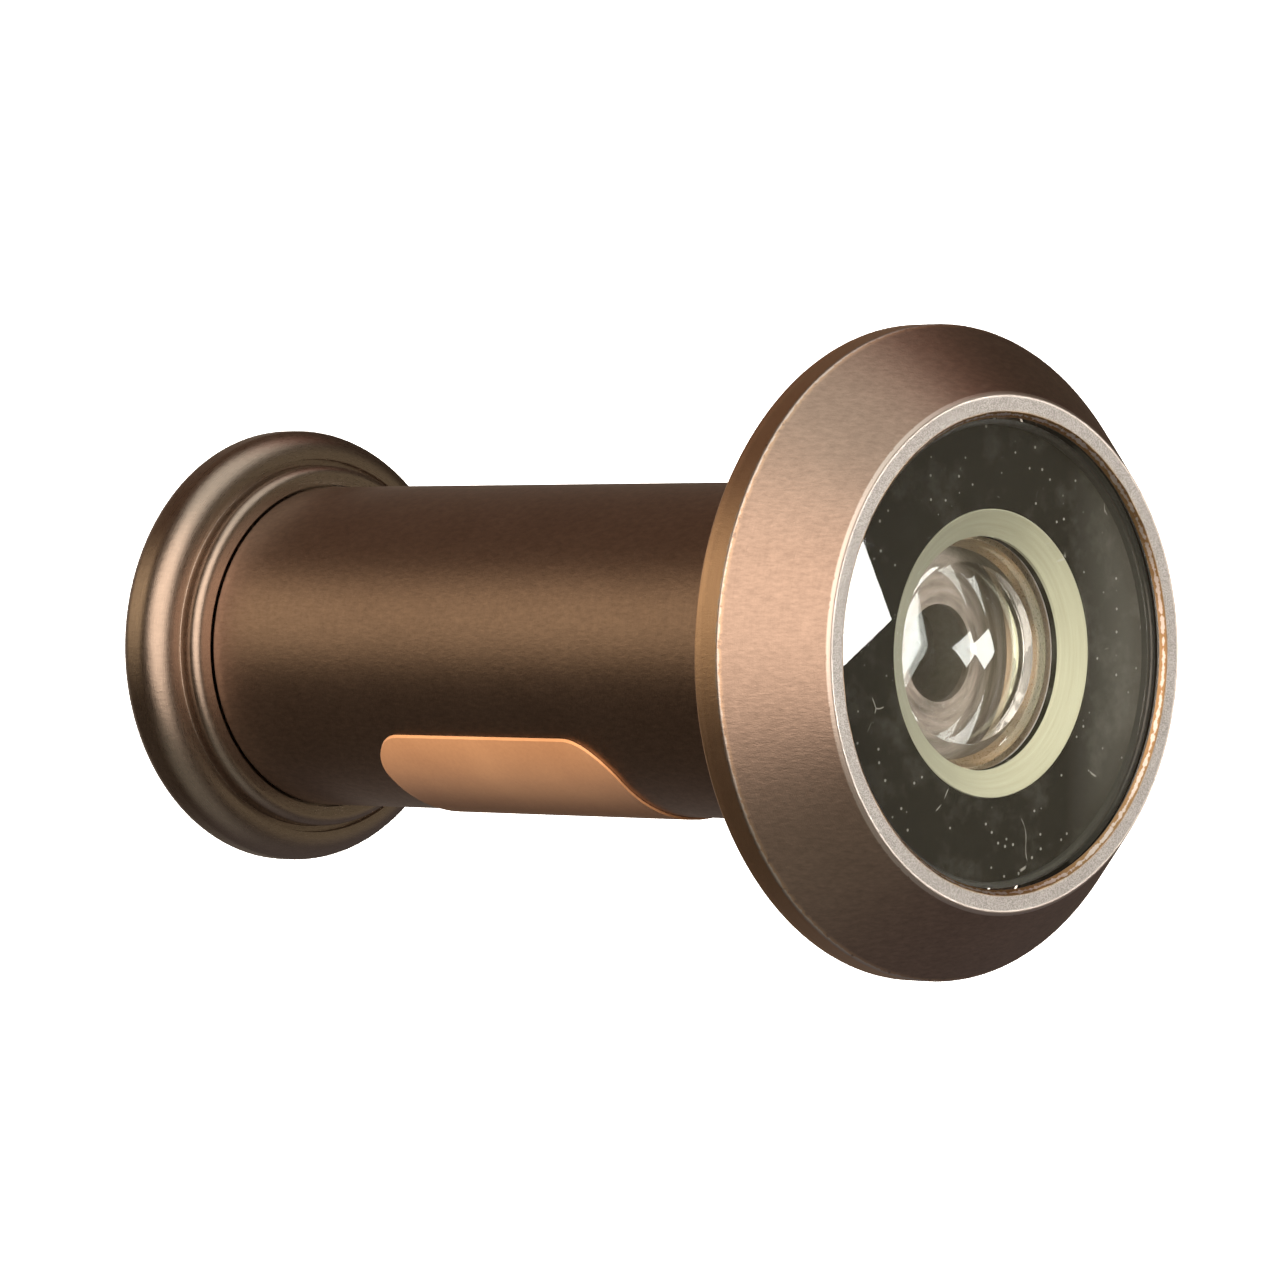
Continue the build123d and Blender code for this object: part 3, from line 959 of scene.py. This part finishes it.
@dataclass
class RearHalf:
    """The threaded sleeve with its flange, and the eyepiece in it."""

    bore_r: float = 4.6
    thread_r: float = 6.0
    thread_depth: float = 0.52
    thread_pitch: float = 1.0
    thread_run_out: float = 0.8
    thread_stop: float = 0.01
    thread_root: float = 0.08
    thread_crest: float = 0.94
    rows_a_turn: int = 16
    segments: int = 160
    front_y: float = 6.1
    lead_in: float = 0.4
    relief_r: float = 5.7
    relief_y: float = 34.75
    recess_r: float = 7.1
    recess_y: float = 35.95
    seat_y: float = 35.45
    land_r: float = 7.5
    bead_r: float = 7.95
    bead_y: float = 35.9
    groove_r: float = 8.25
    groove_y: float = 36.47
    groove_edge: float = 0.03
    rim_start_y: float = 36.25
    flange_r: float = 9.5
    rim_front_y: float = 37.55
    rim_back_y: float = 38.05
    face_r: float = 8.75
    face_y: float = 38.8
    face_edge: float = 0.1
    pocket_r: float = 5.3
    pocket_y: float = 35.55
    slot_half: float = 0.9
    slot_reach: float = 8.4
    slot_floor_y: float = 37.6
    slot_cut: float = 1.8
    slot_steps: int = 12
    crest_margin: float = 0.02
    root_margin: float = 0.1
    lens: Lens = Lens(5.2, Face(35.61, 4.4, 0.45, 30), Face(36.61, 4.0, -0.75, 30))

    def thread_sizes(self) -> dict[str, float]:
        """Return the thread's sizes in metres, by the names of the tree's inputs."""
        sizes = {
            "Pitch": self.thread_pitch, "Depth": self.thread_depth, "Start": self.front_y + self.lead_in,
            "End": self.relief_y - self.thread_stop, "Run-out": self.thread_run_out,
            "Crest radius": self.thread_r,
        }
        return {name: size * MM for name, size in sizes.items()}

    def thread_tree(self, material: Material) -> bpy.types.NodeTree:
        """Build the Geometry Nodes tree that cuts the thread into the sleeve.

        Args:
            material: The material of the cut sleeve.

        Returns:
            The tree, with named inputs for the thread's sizes.
        """
        group = bpy.data.node_groups.new("cut_thread", "GeometryNodeTree")
        sockets = group.interface
        sockets.new_socket("Geometry", in_out="INPUT", socket_type="NodeSocketGeometry")
        for label in self.thread_sizes():
            sockets.new_socket(label, in_out="INPUT", socket_type="NodeSocketFloat")
        sockets.new_socket("Geometry", in_out="OUTPUT", socket_type="NodeSocketGeometry")
        tree = Tree(group)
        given = tree.outputs("NodeGroupInput")
        x, y, z = tree.parts(tree.add("GeometryNodeInputPosition").outputs[0])
        radius = tree.hypot(x, z)
        turn = tree.math("ARCTAN2", x, z) / (2 * math.pi)
        ridge = tree.math("ABSOLUTE", tree.math("FRACT", y / given["Pitch"] - turn) * 2.0 - 1.0)
        valley = tree.spread(ridge, self.thread_root, self.thread_crest, 1.0, 0.0, smooth=True)
        begin = tree.spread((y - given["Start"]) / given["Run-out"], 0.0, 1.0)
        finish = tree.spread((given["End"] - y) / given["Run-out"], 0.0, 1.0)
        inward = valley * (begin * finish) * given["Depth"] / (radius * -1.0)
        crest = tree.math("GREATER_THAN", radius, given["Crest radius"] - self.crest_margin * MM)
        moved = tree.add("GeometryNodeSetPosition", {
            "Geometry": given["Geometry"], "Selection": crest * tree.math("LESS_THAN", y, given["End"]),
            "Offset": tree.vector(x * inward, 0.0, z * inward),
        })
        whole = tree.add("GeometryNodeRealizeInstances", {"Geometry": moved.outputs[0]})
        dressed = tree.add("GeometryNodeSetMaterial", {"Geometry": whole.outputs[0], "Material": material})
        tree.add("NodeGroupOutput", {"Geometry": dressed.outputs[0]})
        return group

    def blank(self) -> Piece:
        """Return the turned sleeve before its thread and slots are cut."""
        start, length = self.front_y + self.lead_in, self.relief_y - self.front_y - self.lead_in
        rows = round(length / self.thread_pitch * self.rows_a_turn)
        groove, broken = self.groove_y - self.groove_edge, self.groove_edge
        out, up = (1.0, 0.0), (0.0, 1.0)
        outline = [(self.bore_r, self.front_y), (self.thread_r - self.lead_in, self.front_y)]
        outline += [(self.thread_r, start + length / rows * k) for k in range(rows + 1)]
        outline += [(self.relief_r, self.relief_y), (self.relief_r, self.recess_y)]
        outline += [(self.recess_r, self.recess_y), (self.recess_r, self.seat_y)]
        outline += arc((self.land_r, self.seat_y), (self.bead_r, self.bead_y), out, 8)
        outline += [(self.bead_r, groove), (self.bead_r + broken, self.groove_y)]
        outline += [(self.groove_r - broken, self.groove_y), (self.groove_r, groove)]
        outline += arc((self.groove_r, self.rim_start_y), (self.flange_r, self.rim_front_y), out, 14)
        outline += arc((self.flange_r, self.rim_back_y), (self.face_r, self.face_y), up, 10)
        outline += [(self.pocket_r + self.face_edge, self.face_y)]
        outline += [(self.pocket_r, self.face_y - self.face_edge)]
        outline += [(self.pocket_r, self.pocket_y), (self.bore_r, self.pocket_y)]
        return turned("rear_sleeve_threaded", outline, self.segments)

    def cut_slots(self, sleeve: Piece) -> None:
        """Cut the two coin slots into the rear face.

        Args:
            sleeve: The turned sleeve.
        """
        corners = []
        for side, turn in ((1, -math.pi / 2), (-1, math.pi / 2)):
            middle = side * (self.slot_reach - self.slot_half)
            for k in range(self.slot_steps + 1):
                angle = turn + math.pi * k / self.slot_steps
                corners.append((middle + self.slot_half * math.cos(angle), self.slot_half * math.sin(angle)))
        shape = bmesh.new()
        lower, upper = (
            [shape.verts.new((x * MM, place * MM, z * MM)) for x, z in corners]
            for place in (self.slot_floor_y, self.slot_floor_y + self.slot_cut)
        )
        shape.faces.new(lower)
        shape.faces.new(upper)
        for k in range(len(corners)):
            n = (k + 1) % len(corners)
            shape.faces.new((lower[k], lower[n], upper[n], upper[k]))
        cutter = as_piece("slot_cutter", shape)
        cut = sleeve.modifiers.new("coin_slot", "BOOLEAN")
        cut.object, cut.operation, cut.solver = cutter, "DIFFERENCE", "EXACT"
        self.settle(sleeve)
        bpy.data.objects.remove(cutter)

    def cut_thread(self, sleeve: Piece, plate: Material) -> None:
        """Cut the thread into the sleeve.

        Args:
            sleeve: The turned sleeve.
            plate: Its finish.
        """
        thread = sleeve.modifiers.new("thread", "NODES")
        thread.node_group = self.thread_tree(plate)
        sizes = self.thread_sizes()
        for item in thread.node_group.interface.items_tree:
            if item.item_type == "SOCKET" and item.in_out == "INPUT" and item.name in sizes:
                thread[item.identifier] = sizes[item.name]
        self.settle(sleeve)

    @staticmethod
    def settle(piece: Piece) -> None:
        """Turn a piece's modifiers into its plain mesh, and remove them."""
        graph = bpy.context.evaluated_depsgraph_get()
        mesh = bpy.data.meshes.new_from_object(piece.evaluated_get(graph))
        piece.modifiers.clear()
        piece.data = mesh

    def smooth_thread(self, mesh: bpy.types.Mesh) -> None:
        """Shade the thread smooth, and keep the turned corners of the rest sharp.

        Args:
            mesh: The mesh of the cut sleeve.
        """
        mesh.shade_smooth()
        mesh.set_sharp_from_angle(angle=math.radians(SHARP_BEND))
        sizes, inner = self.thread_sizes(), (self.thread_r - self.thread_depth - self.root_margin) * MM
        on_thread = [
            sizes["Start"] < v.co.y < sizes["End"] and math.hypot(v.co.x, v.co.z) > inner
            for v in mesh.vertices
        ]
        for edge in mesh.edges:
            if all(on_thread[k] for k in edge.vertices):
                edge.use_edge_sharp = False

    def build(self, materials: Mapping[Slot, Material]) -> None:
        """Build and dress the sleeve and the eyepiece lens, and dress the ring.

        Args:
            materials: The finish of each slot.
        """
        plate = materials[Slot.PLATE]
        sleeve = self.blank()
        sleeve.data.materials.append(plate)
        self.cut_slots(sleeve)
        self.cut_thread(sleeve, plate)
        self.smooth_thread(sleeve.data)
        hand_over(sleeve, "rear_sleeve", Body.SLEEVE, plate)
        lens = turned("eyepiece_lens_polished", self.lens.section())
        hand_over(lens, "eyepiece_lens", Body.EYEPIECE, materials[Slot.LENS])
        lens.visible_shadow = False
        dress("eyepiece_ring", materials[Slot.BLACKENED])


def towards(azimuth: float, elevation: float) -> Vector:
    """Return the direction at an angle round the object and a height, both in degrees."""
    a, e = math.radians(azimuth), math.radians(elevation)
    return Vector((math.sin(a) * math.cos(e), -math.cos(a) * math.cos(e), math.sin(e)))


@dataclass(frozen=True)
class Glow:
    """A soft bright place in the room, with its direction and its two widths in degrees."""

    azimuth: float
    elevation: float
    inner: float
    outer: float
    colour: Colour


@dataclass
class Studio:
    """The camera of the photograph, a pale bowl round the object, and the lights.

    The camera's target, distance and aim are in metres, the bowl and the card in millimetres.
    """

    target: Vector = field(default_factory=lambda: Vector((0.0, 0.017, 0.0)))
    azimuth: float = -44.97
    elevation: float = 0.33
    roll: float = 0.34
    distance: float = 0.2983
    focal_px: float = 7058.0
    aim_right: float = 0.00057
    aim_up: float = 0.00039
    sensor: float = 36.0
    bowl_floor: float = -450.0
    bowl_flat_r: float = 500.0
    bowl_r: float = 1100.0
    bowl_bend_top: float = 150.0
    bowl_top: float = 1400.0
    bowl_base: float = 20.0
    bowl_wall: float = 10.0
    bowl_glow: float = 0.93
    card_corners: tuple[Triple, ...] = (
        (229.2, -223.5, 0.9), (216.8, -236.3, 48.9), (159.2, -293.5, 12.9), (203.2, -249.1, -34.7),
    )
    card_strength: float = 16.0
    card_colour: Colour = (1.0, 0.98, 0.95)
    window_azimuth: float = -68.0
    window_elevation: float = 25.0
    window_strength: float = 6.4
    window_softness: float = 25.0
    window_colour: Colour = (1.0, 0.96, 0.9)
    room_colour: Colour = (0.045, 0.032, 0.022)
    glows: tuple[Glow, ...] = (
        Glow(-50.0, 13.0, 11.0, 49.0, (2.1, 1.76, 1.48)),
        Glow(-10.0, 66.0, 15.0, 41.0, (0.88, 0.87, 0.79)),
        Glow(-139.0, 14.0, 2.0, 26.0, (0.75, 0.58, 0.38)),
        Glow(47.0, 0.0, 14.0, 45.0, (0.15, 0.13, 0.09)),
        Glow(75.0, 62.0, 5.0, 22.0, (0.14, 0.03, 0.02)),
        Glow(-175.0, 50.0, 10.0, 60.0, (0.055, 0.024, 0.013)),
        Glow(95.0, -50.0, 10.0, 60.0, (0.062, 0.06, 0.066)),
        Glow(-45.0, -60.0, 5.0, 45.0, (0.14, 0.14, 0.12)),
        Glow(162.0, 0.0, 5.0, 40.0, (0.26, 0.235, 0.205)),
    )

    def camera(self) -> None:
        """Place the camera where the photograph was taken from."""
        back = towards(self.azimuth, self.elevation)
        place = self.target + back * self.distance
        a = math.radians(self.azimuth)
        level = Vector((math.cos(a), math.sin(a), 0.0))
        aim = self.target + level * self.aim_right + back.cross(level) * self.aim_up
        forward = (aim - place).normalized()
        right = forward.cross(Vector((0.0, 0.0, 1.0))).normalized()
        up = right.cross(forward)
        c, s = math.cos(math.radians(self.roll)), math.sin(math.radians(self.roll))
        right, up = right * c + up * s, up * c - right * s
        data = bpy.data.cameras.new("photo_camera")
        data.sensor_width = self.sensor
        data.lens = self.focal_px * self.sensor / PHOTO_SIZE
        data.clip_start, data.clip_end = 0.01, 10.0
        camera = in_scene("photo_camera", data)
        turn = Matrix((right, up, -forward)).transposed().to_4x4()
        camera.matrix_world = Matrix.Translation(place) @ turn
        bpy.context.scene.camera = camera

    @staticmethod
    def show(piece: Piece, name: str, seen_by: Rays, kind: str, values: Inputs) -> None:
        """Give a thing of the studio its shader, and show it to one kind of ray only.

        Args:
            piece: The card or the bowl.
            name: The name of its material.
            seen_by: The rays that see it.
            kind: The type name of its shader.
            values: The shader's inputs.
        """
        material = bpy.data.materials.new(name)
        Tree.of(material).end(kind, values)
        piece.data.materials.append(material)
        for rays in Rays:
            setattr(piece, f"visible_{rays.value}", rays is seen_by)

    def card(self, name: str, seen_by: Rays) -> Piece:
        """Hang the bright card that stands for the window's image.

        Args:
            name: The card's name.
            seen_by: Glossy rays, or those of transmission for a card seen by light that leaves a glass.

        Returns:
            The card.
        """
        mesh = bpy.data.meshes.new(name)
        mesh.from_pydata([[v * MM for v in corner] for corner in self.card_corners], [], [[0, 1, 2, 3]])
        card = in_scene(name, mesh)
        values = {"Color": self.card_colour, "Strength": self.card_strength}
        self.show(card, name, seen_by, "ShaderNodeEmission", values)
        return card

    @staticmethod
    def keep_off(card: Piece, names: Sequence[str]) -> None:
        """Keep the light of a card off some pieces.

        Args:
            card: The card.
            names: The names of the pieces.
        """
        kept_off = bpy.data.collections.new(f"{card.name}_kept_off")
        for name in names:
            kept_off.objects.link(bpy.data.objects[name])
        for member in kept_off.collection_objects:
            member.light_linking.link_state = "EXCLUDE"
        card.light_linking.receiver_collection = kept_off

    def bowl(self) -> None:
        """Build the pale bowl that is floor and backdrop in one."""
        floor, under, wall_r = self.bowl_floor, self.bowl_floor - self.bowl_base, self.bowl_r + self.bowl_wall
        outline = [(0.0, floor)]
        outline += arc((self.bowl_flat_r, floor), (self.bowl_r, self.bowl_bend_top), (1.0, 0.0), 24)
        outline += [(self.bowl_r, self.bowl_top), (wall_r, self.bowl_top), (wall_r, under), (0.0, under)]
        bowl = turned("studio_bowl", outline, segments=96)
        bowl.data.transform(Matrix.Rotation(math.radians(90.0), 4, "X"))
        self.show(bowl, "studio_paper", Rays.CAMERA, "ShaderNodeBsdfPrincipled", {
            "Base Color": (0.8, 0.8, 0.8), "Roughness": 1.0, "Emission Color": (1.0, 1.0, 1.0),
            "Emission Strength": self.bowl_glow,
        })

    def window(self) -> None:
        """Light what is matt from the side of the window. The gloss has its own lights in the room."""
        data = bpy.data.lights.new("window_light", "SUN")
        data.energy = self.window_strength
        data.angle = math.radians(self.window_softness)
        data.color = self.window_colour
        light = in_scene("window_light", data)
        aim = towards(self.window_azimuth, self.window_elevation)
        light.rotation_euler = aim.to_track_quat("Z", "Y").to_euler()
        light.visible_glossy = False
        light.visible_transmission = False

    def room(self) -> None:
        """Set the dim room round the object, with its soft lights as bright places in it."""
        world = bpy.data.worlds.new("soft_room")
        bpy.context.scene.world = world
        tree = Tree.of(world)
        facing = tree.add("ShaderNodeTexCoord").outputs["Generated"]
        colour: Value = self.room_colour
        for glow in self.glows:
            values = {0: facing, 1: towards(glow.azimuth, glow.elevation)}
            near = tree.add("ShaderNodeVectorMath", values, operation="DOT_PRODUCT").outputs["Value"]
            low, high = math.cos(math.radians(glow.outer)), math.cos(math.radians(glow.inner))
            colour = tree.mix(tree.spread(near, low, high, smooth=True), colour, glow.colour, "ADD")
        tree.end("ShaderNodeBackground", {"Color": colour, "Strength": 1.0}, "ShaderNodeOutputWorld")

    def build(self) -> None:
        """Build the whole studio."""
        self.camera()
        self.bowl()
        self.window()
        self.room()
        bpy.context.scene.view_settings.view_transform = "Standard"
        self.keep_off(self.card("window_card", Rays.GLOSSY), ["rear_sleeve_threaded"])
        self.card("window_card_in_glass", Rays.TRANSMISSION)


def main() -> None:
    """Build every class in order and report what was made."""
    logging.basicConfig(level=logging.INFO, format="%(name)s: %(message)s")
    effects = Effects()
    pale = (0.78, 0.69, 0.63)
    plate = SatinPlate("bronze_plate", effects, has_face=True, worn_edges=(
        WornEdge(13.3, -0.3, 0.62, 0.68),
        WornEdge(13.3, -0.9, 0.6, 0.58, (0.78, 0.55, 0.38)),
        WornEdge(13.3, -1.3, 0.12, 0.42, pale),
        WornEdge(10.45, -4.68, 0.17, 0.6, pale),
        WornEdge(9.6, -4.58, 0.2, 0.8, (0.42, 0.26, 0.13)),
        WornEdge(9.6, -4.6, 0.13, 0.34, pale),
    ))
    finishes = {
        Slot.COVER: ClearGlass("cover_glass", effects, tint=(0.97, 0.985, 0.97), ior=1.62),
        Slot.LENS: ClearGlass("lens_glass", effects, coat=0.3),
        Slot.RUBBER: Moulded("black_rubber", effects, roughness=0.7),
        Slot.BLACK: Moulded(
            "black_moulding", effects, light=(0.006, 0.0055, 0.003), dark=(0.004, 0.0035, 0.002),
            # film here sets the dust film and the painted light on the holder's +X side.
            roughness=0.75, specular=0.12, dust_share=0.3, film=0.22,
        ),
        Slot.IVORY: Moulded(
            "ivory_moulding", effects, light=(0.425, 0.42, 0.305), dark=(0.365, 0.36, 0.255),
            roughness=0.6, rings=0.4, dust_share=0.02,
        ),
        Slot.BRASS: Moulded(
            "plain_brass", effects, light=(0.86, 0.70, 0.52), dark=(0.70, 0.55, 0.40),
            roughness=0.3, metallic=1.0,
        ),
        Slot.DULL: Moulded(
            "dull_brass", effects, light=(0.58, 0.46, 0.38), dark=(0.17, 0.125, 0.095),
            roughness=0.5, metallic=0.3, fineness=950.0,
        ),
        Slot.BLACKENED: Moulded(
            "blackened_metal", effects, light=(0.03, 0.03, 0.03), dark=(0.015, 0.015, 0.015), roughness=0.5,
        ),
        Slot.PLATE: SatinPlate(
            "bronze_plate_rear", effects, light=(0.58, 0.485, 0.415), dark=(0.35, 0.28, 0.23),
            roughness=0.30, streaks=0.08,
        ),
    }
    materials = {slot: finish.build() for slot, finish in finishes.items()}
    ground = Moulded(
        "ground_glass_edge", effects, light=(0.92, 0.88, 0.84), dark=(0.8, 0.74, 0.68),
        roughness=0.5, metallic=0.6,
    )
    coated = ClearGlass("coated_lens_glass", effects, coat=1.0)
    FrontHalf().build(plate.build(), Paper(Slot.PAPER.value, effects).build())
    LensCell().build(materials, coated.build(), ground.build())
    RearHalf().build(materials)
    Studio().build()


if __name__ == "__main__":
    main()
